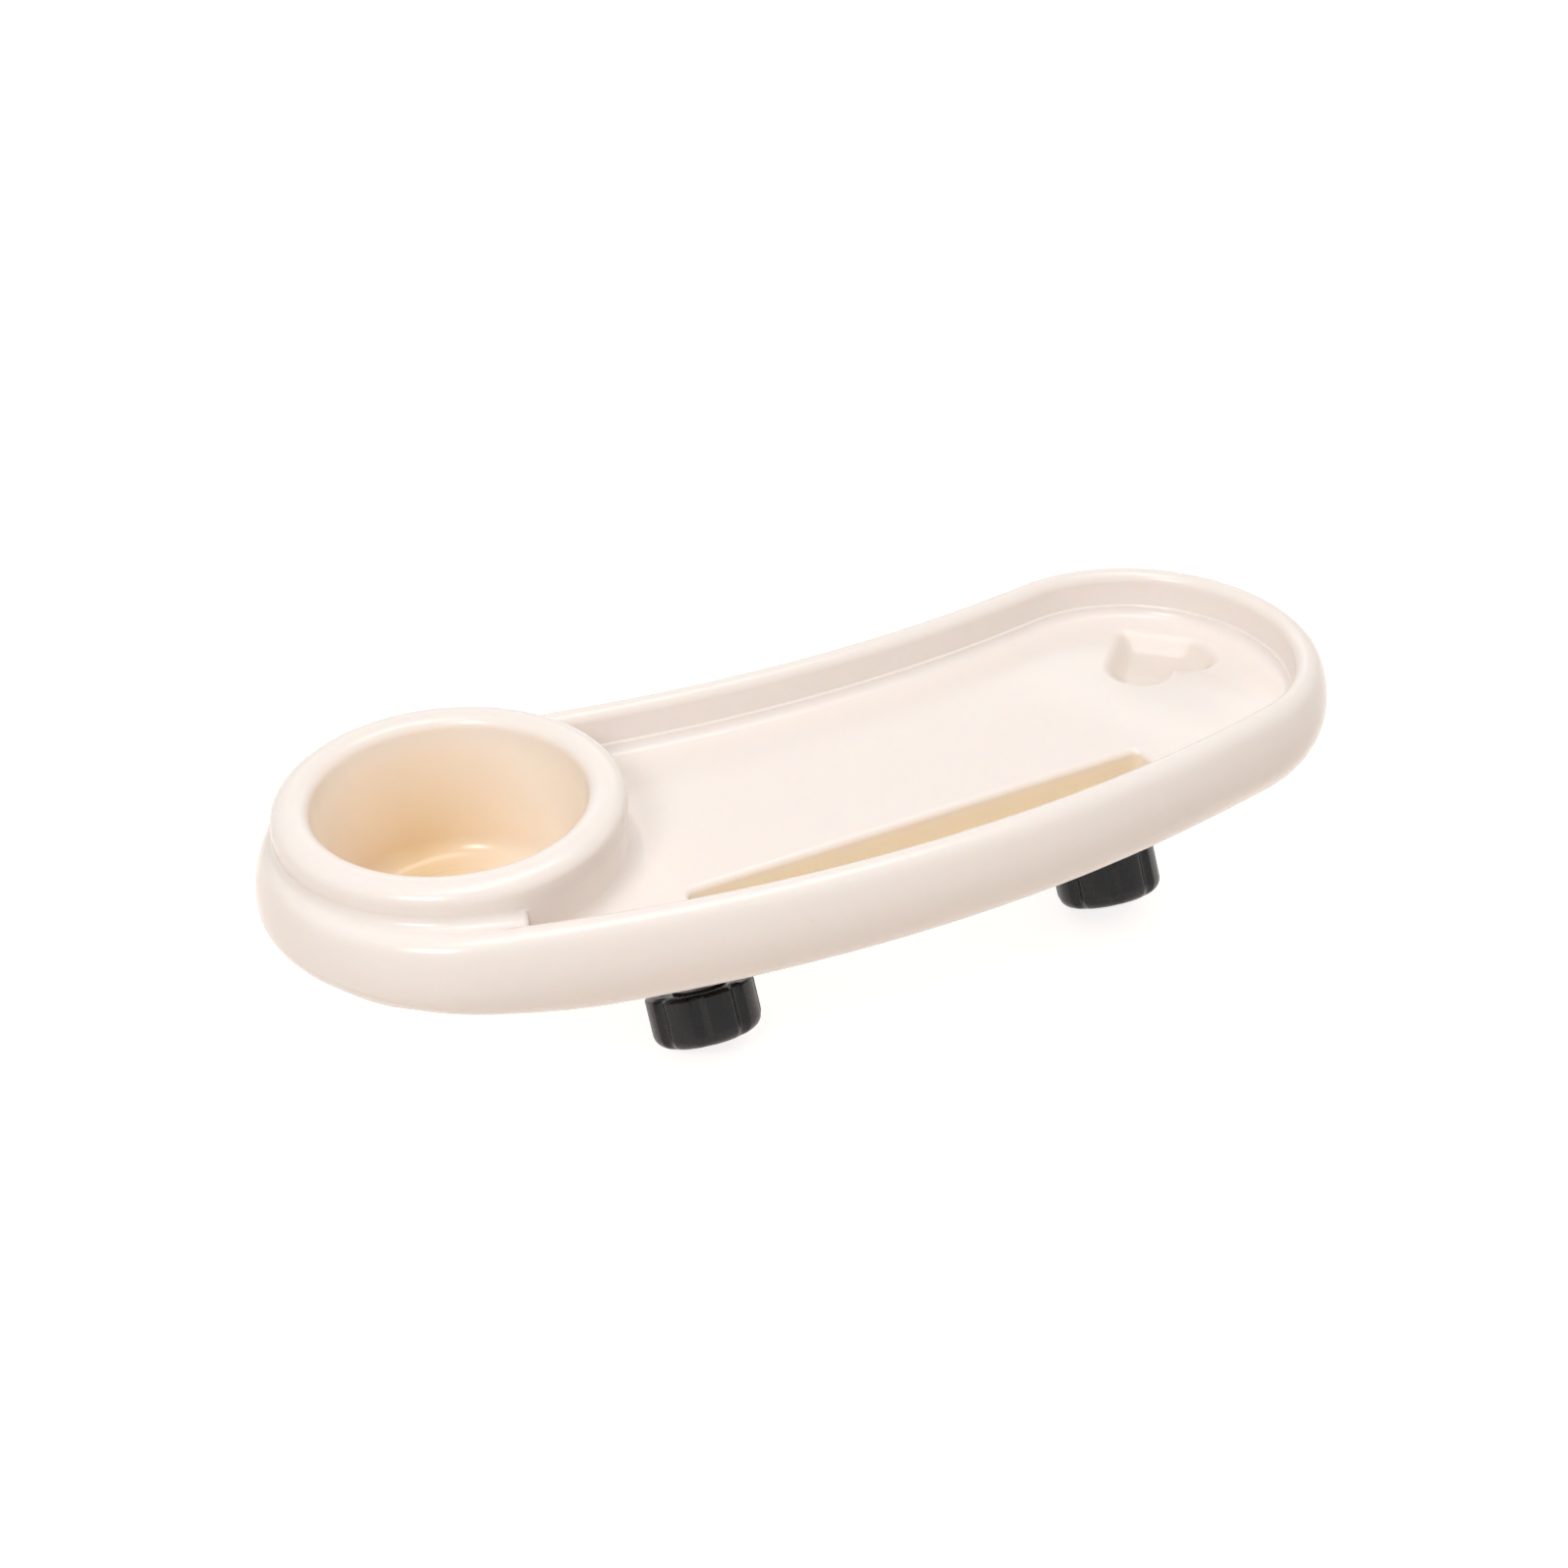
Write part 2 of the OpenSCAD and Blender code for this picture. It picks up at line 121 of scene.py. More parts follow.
def spunShape(bm, profile, centre, segments):
    verts = [bm.verts.new((centre[0] + radius, centre[1], z)) for radius, z in profile]
    edges = [bm.edges.new(pair) for pair in neighbours(verts, closed=False)]
    bmesh.ops.spin(bm, geom=verts + edges, cent=(*centre, 0), axis=(0, 0, 1), angle=math.tau,
                   steps=segments, use_merge=True)


def markSharp(bm, degrees):
    limit = math.radians(degrees)
    for f in bm.faces:
        f.smooth = True
    for e in bm.edges:
        e.smooth = not (len(e.link_faces) == 2 and e.calc_face_angle(0) > limit)


def makePiece(name, bm, material, body, replaced=(), sharp=38):
    bmesh.ops.scale(bm, vec=(mm, mm, mm), verts=bm.verts)
    markSharp(bm, sharp)
    mesh = bpy.data.meshes.new(name)
    bm.to_mesh(mesh)
    bm.free()
    mesh.materials.append(material)
    piece = bpy.data.objects.new(name, mesh)
    scene.collection.objects.link(piece)
    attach(piece, body)
    if replaced:
        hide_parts(*replaced)
    return piece


# Materials

def newMaterial(name):
    m = bpy.data.materials.new(name)
    m.use_nodes = True
    return m, m.node_tree, m.node_tree.nodes["Principled BSDF"]


def addNode(tree, kind, **settings):
    n = tree.nodes.new(kind)
    for key, value in settings.items():
        setattr(n, key, value)
    return n


def feed(tree, sockets, values):  # links a socket, and sets a number or a colour
    for socket, value in zip(sockets, values):
        if isinstance(value, bpy.types.NodeSocket):
            tree.links.new(value, socket)
        else:
            socket.default_value = value


def maths(tree, operation, *values):
    n = addNode(tree, "ShaderNodeMath", operation=operation)
    feed(tree, n.inputs, values)
    return n.outputs[0]


def mapRange(tree, value, low, high, toLow=0.0, toHigh=1.0):
    n = addNode(tree, "ShaderNodeMapRange")
    feed(tree, n.inputs, (value, low, high, toLow, toHigh))
    return n.outputs[0]


def mixColour(tree, factor, a, b):
    n = addNode(tree, "ShaderNodeMix", data_type="RGBA")
    feed(tree, (n.inputs[0], n.inputs[6], n.inputs[7]), (factor, a, b))
    return n.outputs[2]


def noiseOf(tree, where, scale, detail):
    n = addNode(tree, "ShaderNodeTexNoise")
    feed(tree, (n.inputs["Vector"], n.inputs["Scale"], n.inputs["Detail"]), (where, scale, detail))
    return n.outputs["Fac"]


def objectPlace(tree):
    return addNode(tree, "ShaderNodeTexCoord").outputs["Object"]


def setShader(shader, values):
    for socket, value in values.items():
        shader.inputs[socket].default_value = value


creamLook = {
    "colour": (0.912, 0.828, 0.778, 1), "pale": (0.920, 0.840, 0.792, 1), "clouds": (9, 1),
    # the two well colours on the next line are painted light, brighter in the well, and painted warm shade
    # low at its back
    "glow": (0.985, 0.862, 0.752, 1), "paintedWellShade": (0.74, 0.555, 0.325, 1),
    # the slot's colour on the next line is painted light, brighter and warmer; the heart's colour is painted
    # shade for its recess
    "slot": (1.0, 0.873, 0.715, 1), "heart": (0.84, 0.75, 0.68, 1),
    "speck": (0.62, 0.55, 0.48, 1), "speckScale": 34, "speckEdge": (0.022, 0.010), "speckShare": 0.35,
    "shader": {"Roughness": 0.22, "IOR": 1.5, "Subsurface Weight": 0.35,
               "Subsurface Radius": (1.0, 0.62, 0.34), "Subsurface Scale": 3.5 * mm},
}
paintedLightPlaces = {  # where painted light and shade go; each edge is where the painted tint starts and where it is full
    "well": {"centre": (-156.6, -2.0), "edge": (43.4, 41.0)},
    "paintedWellShade": {"centre": (-158.0, 33.0, 19.0), "edge": (48.0, 2.0)},
    # the slot's box, where its painted light goes
    "slot": {"centre": (-16.5, -54.9), "edgeX": (87.0, 86.5), "edgeY": (8.6, 8.1), "edgeZ": (35.8, 32.0)},
    # the heart's box, where its painted shade goes
    "heart": {"centre": (109.4, 3.0), "edgeX": (25.0, 24.0), "edgeY": (23.0, 22.0), "edgeZ": (36.2, 34.5)},
}


def edgeFade(tree, value, edge):
    return mapRange(tree, value, edge[0] * mm, edge[1] * mm)


def fromCentre(tree, values, place):
    return [maths(tree, "SUBTRACT", v, c * mm) for v, c in zip(values, place["centre"])]


def insideBox(tree, x, y, z, place):
    dx, dy = fromCentre(tree, (x, y), place)
    inX = edgeFade(tree, maths(tree, "ABSOLUTE", dx), place["edgeX"])
    inY = edgeFade(tree, maths(tree, "ABSOLUTE", dy), place["edgeY"])
    return maths(tree, "MULTIPLY", maths(tree, "MULTIPLY", inX, inY), edgeFade(tree, z, place["edgeZ"]))


def makeCream():
    look, places = creamLook, paintedLightPlaces
    m, tree, shader = newMaterial("creamPlastic")
    where = objectPlace(tree)
    split = addNode(tree, "ShaderNodeSeparateXYZ")
    feed(tree, split.inputs, (where,))
    x, y, z = split.outputs
    # painted light and shade in place of light through the wall and of shade: the well is painted brighter
    # and warmer, low at its back painted as warm shade, the slot painted brighter and warmer, the heart's
    # recess painted darker
    dx, dy = fromCentre(tree, (x, y), places["well"])
    squares = maths(tree, "ADD", maths(tree, "MULTIPLY", dx, dx), maths(tree, "MULTIPLY", dy, dy))
    inWell = edgeFade(tree, maths(tree, "SQRT", squares), places["well"]["edge"])
    away = addNode(tree, "ShaderNodeVectorMath", operation="DISTANCE")
    feed(tree, away.inputs, (where, [c * mm for c in places["paintedWellShade"]["centre"]]))
    paintedWellShade = edgeFade(tree, away.outputs["Value"], places["paintedWellShade"]["edge"])
    base = mixColour(tree, noiseOf(tree, where, *look["clouds"]), look["colour"], look["pale"])
    withPaintedLight = mixColour(tree, inWell, base, mixColour(tree, paintedWellShade, look["glow"], look["paintedWellShade"]))
    # the slot is painted brighter and the heart's recess painted darker
    for word in ("slot", "heart"):
        withPaintedLight = mixColour(tree, insideBox(tree, x, y, z, places[word]), withPaintedLight, look[word])
    # a few fine specks from moulding
    dots = addNode(tree, "ShaderNodeTexVoronoi", feature="F1")
    feed(tree, (dots.inputs["Vector"], dots.inputs["Scale"]), (where, look["speckScale"]))
    dot = mapRange(tree, dots.outputs["Distance"], *look["speckEdge"])
    speck = maths(tree, "MULTIPLY", dot, look["speckShare"])
    tree.links.new(mixColour(tree, speck, withPaintedLight, look["speck"]), shader.inputs["Base Color"])
    setShader(shader, look["shader"])
    return m


# a noise is its scale and detail, rough is the lowest and highest roughness
moulded = {"mottle": (60, 4), "gloss": (900, 2), "glossSpan": (0.3, 0.7), "grainDepth": 0.2,
           "shader": {"Specular IOR Level": 0.36}}
finishes = {
    "knobBlack": {**moulded, "colour": (0.007, 0.007, 0.008, 1), "pale": (0.012, 0.012, 0.013, 1),
                  "rough": (0.25, 0.36), "grain": (700, 3), "grainStrength": 0.08},
    "bracketBlack": {**moulded, "colour": (0.026, 0.026, 0.028, 1), "pale": (0.040, 0.040, 0.042, 1),
                     "rough": (0.45, 0.56), "grain": (1100, 3), "grainStrength": 0.35},
    "softRubber": {**moulded, "colour": (0.045, 0.045, 0.047, 1), "pale": (0.065, 0.065, 0.066, 1),
                   "rough": (0.67, 0.78), "grain": (1500, 3), "grainStrength": 0.5},
    "zincSteel": {"colour": (0.62, 0.63, 0.65, 1), "pale": (0.74, 0.74, 0.72, 1), "mottle": (160, 4),
                  "gloss": (500, 3), "glossSpan": (0.2, 0.8), "rough": (0.22, 0.42),
                  "grain": (1400, 2), "grainStrength": 0.15, "grainDepth": 0.1, "shader": {"Metallic": 1.0}},
}
finishOf = {"knobBlack": "_knob", "bracketBlack": ("_bracket", "_foot"), "softRubber": ("_liner", "_pad"),
            "zincSteel": ("_screws", "_nut", "_stud")}


def makeFinish(name):
    look = finishes[name]
    m, tree, shader = newMaterial(name)
    where = objectPlace(tree)
    colour = mixColour(tree, noiseOf(tree, where, *look["mottle"]), look["colour"], look["pale"])
    tree.links.new(colour, shader.inputs["Base Color"])
    gloss = mapRange(tree, noiseOf(tree, where, *look["gloss"]), *look["glossSpan"], *look["rough"])
    tree.links.new(gloss, shader.inputs["Roughness"])
    bump = addNode(tree, "ShaderNodeBump")
    feed(tree, (bump.inputs["Strength"], bump.inputs["Distance"], bump.inputs["Height"]),
         (look["grainStrength"], look["grainDepth"] * mm, noiseOf(tree, where, *look["grain"])))
    tree.links.new(bump.outputs["Normal"], shader.inputs["Normal"])
    setShader(shader, look["shader"])
    return m


cream = makeCream()
finish = {name: makeFinish(name) for name in finishes}
print("materials made")

for name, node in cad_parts.items():
    look = next((finish[word] for word, ends in finishOf.items() if name.endswith(ends)), cream)
    node.data.materials.clear()
    node.data.materials.append(look)


# The tray's outer skin

outlineSizes = {"cupEnd": (-153.6, -6.2), "cupEndR": 65.3, "plainEnd": (91.4, -15.7), "plainEndR": 64.5,
                "frontR": 527.9, "rearR": 508.1, "endStep": 2.5, "edgeStep": 3.0}
farOff = 999  # stands for out of reach


def outlineStations():  # points on the outline with the way in, and how far each is from the two ends' arcs
    s = outlineSizes
    front = meet(s["cupEnd"], s["frontR"] - s["cupEndR"], s["plainEnd"], s["frontR"] - s["plainEndR"])
    rear = meet(s["cupEnd"], s["rearR"] + s["cupEndR"], s["plainEnd"], s["rearR"] + s["plainEndR"])
    frontCup, frontPlain = heading(front, s["cupEnd"]), heading(front, s["plainEnd"])
    rearCup, rearPlain = heading(s["cupEnd"], rear), heading(s["plainEnd"], rear)
    runs = [(s["cupEnd"], s["cupEndR"], rearCup, upFrom(frontCup, rearCup), 1, s["endStep"]),
            (front, s["frontR"], upFrom(frontCup, 180), upFrom(frontPlain, 180), 1, None),
            (s["plainEnd"], s["plainEndR"], frontPlain, upFrom(rearPlain, frontPlain), 1, s["endStep"]),
            (rear, s["rearR"], rearPlain - 180, rearCup - 180, -1, None)]
    stations, away = [], []
    for run, (centre, r, a0, a1, side, step) in enumerate(runs):
        span = abs(a1 - a0)
        length = math.radians(span) * r
        n = round(span / step) if step else round(length / s["edgeStep"])
        for k in range(n):
            out = Vector(polar((0, 0), 1, a0 + (a1 - a0) * k / n))
            stations.append((Vector(centre) + out * r, -out * side))
            go, left = length * k / n, length * (n - k) / n
            nearest = min(go, left)
            away.append(((-nearest, farOff), (go, left), (farOff, -nearest), (left, go))[run])
    return stations, away


cupSizes = {"centre": (-156.6, -2.0), "topR": 54.2, "baseR": 53.4, "base": 13.7, "grooveAt": 49.0,
            "collar": 56.5, "step": 2.5,
            "lipLow": 58.8, "lipH": 4.97, "lipW": 12.0, "lipOut": 6.4, "lipPower": 2.5, "lipSteps": 12,
            "wellR": 35.5, "wellFloor": 17.3, "wellFillet": 8.0,
            "floorStep": ((25.0, 0.0), (24.6, 0.35), (24.0, 0.5), (12.0, 0.5)),
            "drumR": 50.7, "drumLow": 18.5, "drumTop": 46.0, "drumFlare": (2.9, 0.8)}


def cupRadius(z):
    c = cupSizes
    return c["baseR"] + (c["topR"] - c["baseR"]) * (z - c["base"]) / (c["lipLow"] - c["base"])


def insetOfCup(point, inward, r):  # how far in from the outline the cup's wall is met, or None
    w = point - Vector(cupSizes["centre"])
    b = w.dot(inward)
    disc = b * b - w.length_squared + r * r
    return -b - math.sqrt(disc) if disc > 0 else None


def cupLine():  # over the lip, down the well and in over its floor
    c = cupSizes
    lipMid, mouth, n = c["topR"] - c["lipOut"], c["topR"] - c["lipW"], c["lipSteps"]
    line = []
    for k in range(2 * n + 1):  # round outside, a tighter shoulder inside
        power, reach = (1.0, c["lipOut"]) if k <= n else (2 / c["lipPower"], mouth - lipMid)
        a = math.radians(90 * k / n)
        line.append((lipMid + reach * abs(math.cos(a)) ** power,
                     c["lipLow"] + c["lipH"] * abs(math.sin(a)) ** power))
    wellTop = c["wellFloor"] + c["wellFillet"]
    line += spaced([(mouth, c["lipLow"]), (c["wellR"], wellTop)], 6)[1:]
    line += arc((c["wellR"] - c["wellFillet"], wellTop), c["wellFillet"], 0, -90, 10)[1:]
    return line + [(radius, c["wellFloor"] + rise) for radius, rise in c["floorStep"]]


rimSizes = {"deck": 36.3, "wall": 2.6, "top": 52.7, "widest": 36.6, "crestIn": 8.5, "crestR": 6.0,
            "innerR": 3.3, "lineSteps": 60, "crestSteps": 20}  # heights are above the bar's axis
grooveSizes = {"ball": 3.0, "floor": 50.2, "frontX": -161.5, "frontY": -40, "rearGap": 5.0, "rearY": 20,
               "steps": 10, "ballSteps": 24, "floorStep": 0.1, "floorSteps": 160}
skirtSizes = {"r": 23.5, "turn": 72, "edge": 0.9, "edgeTurn": 75, "share": 0.891, "cupShare": 0.549,
              "cupReach": 1.25, "cupBlend": (-50.0, 36.5), "plainBlend": (-40.0, 40.0), "intoDrum": 0.8,
              "steps": 16, "edgeSteps": 3}
footSizes = {"rim": (3.5, 0.6), "cup": (7.0, 0.0), "grooveEnd": (3.0, 0.2), "room": 0.44, "steps": 8,
             "corner": ((0.9, 0.15), (1.7, 0.6), (2.2, 1.3), (2.5, 2.4))}  # a foot is its radius and ledge


def rimLine():  # from the widest line over the crest to the inner edge, then down to the groove's floor
    r, g, n = rimSizes, grooveSizes, rimSizes["lineSteps"]
    sideH = r["top"] - r["crestR"] - r["widest"]
    sideR = (r["crestIn"] ** 2 + sideH ** 2 - r["crestR"] ** 2) / (2 * (r["crestIn"] - r["crestR"]))
    sideEnd = math.degrees(math.atan2(sideH, r["crestIn"] - sideR))
    line = arc((sideR, r["widest"]), sideR, 180, sideEnd, n)
    line += arc((r["crestIn"], r["top"] - r["crestR"]), r["crestR"], sideEnd, 90, n)[1:]
    line += arc((r["crestIn"], r["top"] - r["innerR"]), r["innerR"], 90, 0, n)[1:]
    edgeEnd = len(line) - 1
    wallIn, wallTop = line[-1]
    line += [(wallIn, wallTop + (g["floor"] - wallTop) * k / 10) for k in range(1, 11)]
    line += [(wallIn + g["floorStep"] * k, g["floor"]) for k in range(1, g["floorSteps"])]
    return line, edgeEnd


def grooveSection(line, edgeEnd, inset):  # a ball rolled along between the rim and the cup's wall
    ball, steps = grooveSizes["ball"], grooveSizes["ballSteps"]
    middle = inset - ball
    high, touch = max((z + math.sqrt(ball * ball - (d - middle) ** 2), i)
                      for i, (d, z) in enumerate(line) if abs(d - middle) < ball)
    curve = arc((middle, high), ball, heading((middle, high), line[touch]), 0, steps)
    crestEnd = min(touch, edgeEnd)
    return line[:crestEnd + 1], line[crestEnd:touch] + curve


def skirtLine(station, away):  # shallower round the cup end, cut short at the drum, round at its lower edge
    s = skirtSizes
    nearCup, nearPlain = 1 - ease(away[0], s["cupBlend"]), 1 - ease(away[1], s["plainBlend"])
    share = s["share"] + (s["cupShare"] - s["share"]) * nearCup + (1 - s["share"]) * nearPlain
    reach = 1 + (s["cupReach"] - 1) * nearCup
    turn, r, e = s["turn"], s["r"], s["edge"]
    drum = insetOfCup(*station, cupSizes["drumR"])
    if drum is not None and drum + s["intoDrum"] < r * reach * (1 - math.cos(math.radians(turn))):
        turn = math.degrees(math.acos(1 - (drum + s["intoDrum"]) / (r * reach)))
    edgeC, start = polar((r, 0), r - e, 180 + turn), 180 + turn
    line = arc(edgeC, e, start + s["edgeTurn"], start, s["edgeSteps"])
    line += arc((r, 0), r, start, 180, s["steps"])[1:]
    return [(d * reach, rimSizes["widest"] + z * share) for d, z in line]


def buildTray():
    c, g, f, deck = cupSizes, grooveSizes, footSizes, rimSizes["deck"]
    centre = Vector(c["centre"])
    bm = bmesh.new()
    line, edgeEnd = rimLine()
    rimIn, wallR = line[edgeEnd][0], cupRadius(c["grooveAt"])
    stations, away = outlineStations()
    insets = [insetOfCup(p, n, wallR) for p, n in stations]
    gaps = [farOff if inset is None else inset - rimIn for inset in insets]
    total = len(stations)
    frontEnd = min((i for i in range(total) if stations[i][0].y < g["frontY"]),
                   key=lambda i: abs(stations[i][0].x - g["frontX"]))
    rearEnd = min((i for i in range(total) if stations[i][0].y > g["rearY"] and stations[i][0].x > centre.x),
                  key=lambda i: abs(gaps[i] - g["rearGap"]))
    order = [(frontEnd + k) % total for k in range(total)]
    stations, away, insets, gaps = ([row[i] for i in order] for row in (stations, away, insets, gaps))
    pocketCount = (rearEnd - frontEnd) % total + 1  # stations 0 to pocketCount - 1 border the pocket
    grooveIndex = list(range(pocketCount - 1, total)) + [0]  # from the groove's rear end to its front end

    def place(i, d, z):
        p, n = stations[i]
        return (*(p + n * d), z)

    # skirt and rim
    sections = {i: grooveSection(line, edgeEnd, insets[i]) for i in grooveIndex}
    walls = []
    for i in range(total):
        crest = sections[i][0] if i in sections else line[:edgeEnd + 1]
        walls.append(skirtLine(stations[i], away[i]) + spaced(crest, rimSizes["crestSteps"])[1:])
    rimEdge = newLoop(bm, [place(i, *wall[0]) for i, wall in enumerate(walls)])
    for k in range(1, len(walls[0])):
        rimEdge = pullLoop(bm, rimEdge, [place(i, *wall[k]) for i, wall in enumerate(walls)])

    # groove between the rim and the cup
    across = [[place(i, *q) for q in spaced(sections[i][1], g["steps"])] for i in grooveIndex]
    columns = [[rimEdge[i] for i in grooveIndex]]
    for k in range(1, g["steps"] + 1):
        columns.append(pullLoop(bm, columns[-1], [row[k] for row in across], closed=False))
    rearLine, frontLine = [column[0] for column in columns], [column[-1] for column in columns]

    # cup's wall where it stands in the pocket
    a0, a1 = heading(centre, rearLine[-1].co), heading(centre, frontLine[-1].co)
    z0, z1 = rearLine[-1].co.z, frontLine[-1].co.z
    n = round((a0 - a1) / c["step"])
    inner = [bm.verts.new((*polar(centre, wallR, a0 + (a1 - a0) * k / n), z0 + (z1 - z0) * k / n))
             for k in range(1, n)]
    for pair in neighbours([rearLine[-1]] + inner + [frontLine[-1]], closed=False):
        bm.edges.new(pair)

    # pocket's wall: along the rim, across the groove's rear end, round the cup, across its front end
    rims = [p + n * rimIn for p, n in stations]

    def cupFoot(at):
        out = (at - centre).normalized()
        near = min(range(pocketCount), key=lambda i: abs((rims[i] - at).cross(out))
                   + (0 if (stations[i][0] - at).dot(out) > 0 else 1e6))
        return out, (rims[near] - at).length, None, f["cup"]

    loop = rimEdge[:pocketCount] + rearLine[1:] + inner + frontLine[:0:-1]
    frontAlong = (stations[1][0] - stations[0][0]).normalized()
    rearAlong = (stations[pocketCount - 2][0] - stations[pocketCount - 1][0]).normalized()
    # for each point: the way its foot runs, the room in front of it, the way a corner is pushed, its foot
    feet = [[stations[k][1], gaps[k], None, f["rim"]] for k in range(pocketCount)]
    feet[0][2], feet[-1][2] = frontAlong, rearAlong
    feet += [(rearAlong, farOff, rearAlong, f["grooveEnd"])] * g["steps"]
    feet += [cupFoot(v.co.xy) for v in inner]
    feet += [(frontAlong, farOff, frontAlong, f["grooveEnd"])] * g["steps"]
    starts = [v.co.copy() for v in loop]
    for push, drop in f["corner"]:
        loop = pullLoop(bm, loop, [s + Vector((*(corner * push if corner else (0, 0)), -drop))
                                   for s, (_, _, corner, _) in zip(starts, feet)])
    tops = [v.co.copy() for v in loop]
    for k in range(-2, f["steps"] + 1):  # halfway down the wall, at its end, then round the foot
        places = []
        for top, (facing, gap, _, (radius, ledge)) in zip(tops, feet):
            d, z = 0.0, deck + radius + ledge
            if k == -2:
                z = (z + top.z) / 2
            elif k >= 0:
                d, z = polar((ledge + radius, deck + radius), radius, 180 + 90 * k / f["steps"])
            d *= min(1.0, f["room"] * gap / (ledge + radius))
            places.append((top.x + facing.x * d, top.y + facing.y * d, z))
        loop = pullLoop(bm, loop, places)
    pocketEdge = loop

    # cup above the groove, its lip, the well and its floor
    ring = columns[-1] + inner[::-1]
    angles, starts = [heading(centre, v.co) for v in ring], [v.co.z for v in ring]
    for t in (0.5, 1.0):
        heights = [z + (c["collar"] - z) * t for z in starts]
        ring = pullLoop(bm, ring, [(*polar(centre, cupRadius(z), a), z) for a, z in zip(angles, heights)])
    for radius, z in cupLine():
        ring = pullLoop(bm, ring, [(*polar(centre, radius, a), z) for a in angles])
    bmesh.ops.edgeloop_fill(bm, edges=loopEdges(bm, ring))

    # deck, with the slot and the heart let into it
    borders = [loopEdges(bm, verts) for verts in (pocketEdge, cutSlot(bm), cutHeart(bm))]
    bmesh.ops.triangle_fill(bm, use_beauty=True, normal=(0, 0, 1), use_dissolve=False, edges=sum(borders, []))
    bmesh.ops.recalc_face_normals(bm, faces=bm.faces)
    if max(bm.faces, key=lambda face: face.calc_area()).normal.z < 0:
        bmesh.ops.reverse_faces(bm, faces=bm.faces)
    return bm


slotSizes = {"length": 168.0, "width": 12.0, "depth": 18.0, "centre": (-16.5, -54.9), "corner": 3.2,
             "edge": 2.4, "fillet": 1.5}


def slotRing(grow, z):
    s = slotSizes
    r = s["corner"] + grow
    x, y = s["length"] / 2 + grow - r, s["width"] / 2 + grow - r
    out = []
    for sideX, sideY, a in ((1, 1, 0), (-1, 1, 90), (-1, -1, 180), (1, -1, 270)):
        out += arc((s["centre"][0] + sideX * x, s["centre"][1] + sideY * y), r, a, a + 90, 6)
    return [(*p, z) for p in out]


def cutSlot(bm):
    s, deck = slotSizes, rimSizes["deck"]
    e, f, floor = s["edge"], s["fillet"], deck - s["depth"]
    top = ring = newLoop(bm, slotRing(e, deck))
    steps = arc((e, deck - e), e, 90, 180, 9)[1:]
    steps += [(0, deck - s["depth"] / 2)] + arc((-f, floor + f), f, 0, -90, 3)
    for grow, z in steps:
        ring = pullLoop(bm, ring, slotRing(grow, z))
    bmesh.ops.triangle_fill(bm, use_beauty=True, normal=(0, 0, 1), edges=loopEdges(bm, ring))
    return top


heartSizes = {"centre": (109.4, -5.1), "lobe": 12.6, "half": 10.6, "tip": 28.4, "tipR": 3.8, "notch": 0.6,
              "depth": 5.6, "taper": 0.56, "soft": 0.8, "sideSteps": 56, "steps": 22}


def heartOutline():  # two round lobes with straight flanks to the tip, its tip and notch softened
    h = heartSizes
    lobeC, tip = (h["half"], 0), (0, h["tip"])
    touch = heading(lobeC, tip) - math.degrees(math.acos(h["lobe"] / math.dist(lobeC, tip)))
    notch = -180 + math.degrees(math.acos(h["half"] / h["lobe"]))
    side = arc(lobeC, h["lobe"], touch, notch, 30)
    lean = heading(side[0], tip) - 90
    tipC = (0, h["tip"] - h["tipR"] / math.sin(math.radians(lean)))
    right = arc(tipC, h["tipR"], 90, lean, 5) + side[:-2] + [(0, side[-1][1] - h["notch"])]
    right = spaced(right, h["sideSteps"])
    return right + [(-x, y) for x, y in reversed(right[1:-1])]


def cutHeart(bm):
    h, deck = heartSizes, rimSizes["deck"]
    outline = heartOutline()

    def ringAt(scale, z):
        return [(h["centre"][0] + x * scale, h["centre"][1] + y * scale, z) for x, y in outline]

    top = ring = newLoop(bm, ringAt(1.0, deck))
    for k in range(1, h["steps"] + 1):  # a soft bowl, rounded above and below
        t = k / h["steps"]
        fall = h["soft"] * (0.5 - 0.5 * math.cos(math.pi * t)) + (1 - h["soft"]) * t
        ring = pullLoop(bm, ring, ringAt(1 - (1 - h["taper"]) * t, deck - h["depth"] * fall))
    bmesh.ops.triangle_fill(bm, use_beauty=True, normal=(0, 0, 1), edges=loopEdges(bm, ring))
    return top


trayBm = buildTray()
print("tray skin", len(trayBm.verts), "vertices")
tray = makePiece("trayShell", trayBm, cream, "tray", ("tray_body",))
shell = tray.modifiers.new("wall", "SOLIDIFY")
shell.thickness = rimSizes["wall"] * mm
shell.offset = -1


# What hangs under the deck: the cup's drum, stiffening ribs and the screw posts

clampSizes = {"pitch": 163.0, "lean": 27.0}
underSizes = {"into": 0.3, "ribT": 1.8, "ribH": 4.0, "ribIn": 13.5, "ribYs": (-24.0, 12.0),
              "ribXs": (-42.0, -4.0, 34.0, 72.0, 108.0), "slotBack": -46.5, "cupBack": 52.0,
              "heartGaps": {12.0: (98.0, 121.0), 108.0: (-14.5, 17.5)},
              "postR": 3.8, "flare": 1.0, "flareH": 1.2, "postLow": 25.7, "hole": 1.55, "holeTop": 32.4,
              "postX": 8.0, "postYs": (-12.5, 24.5), "joined": 0.001}


def ribSpan(stations, side, level):  # where a straight line meets the outline moved in
    hits = []
    inner = [p + n * underSizes["ribIn"] for p, n in stations]
    for a, b in neighbours(inner):
        if (a[side] - level) * (b[side] - level) < 0:
            t = (level - a[side]) / (b[side] - a[side])
            hits.append(a[1 - side] + (b[1 - side] - a[1 - side]) * t)
    return min(hits), max(hits)


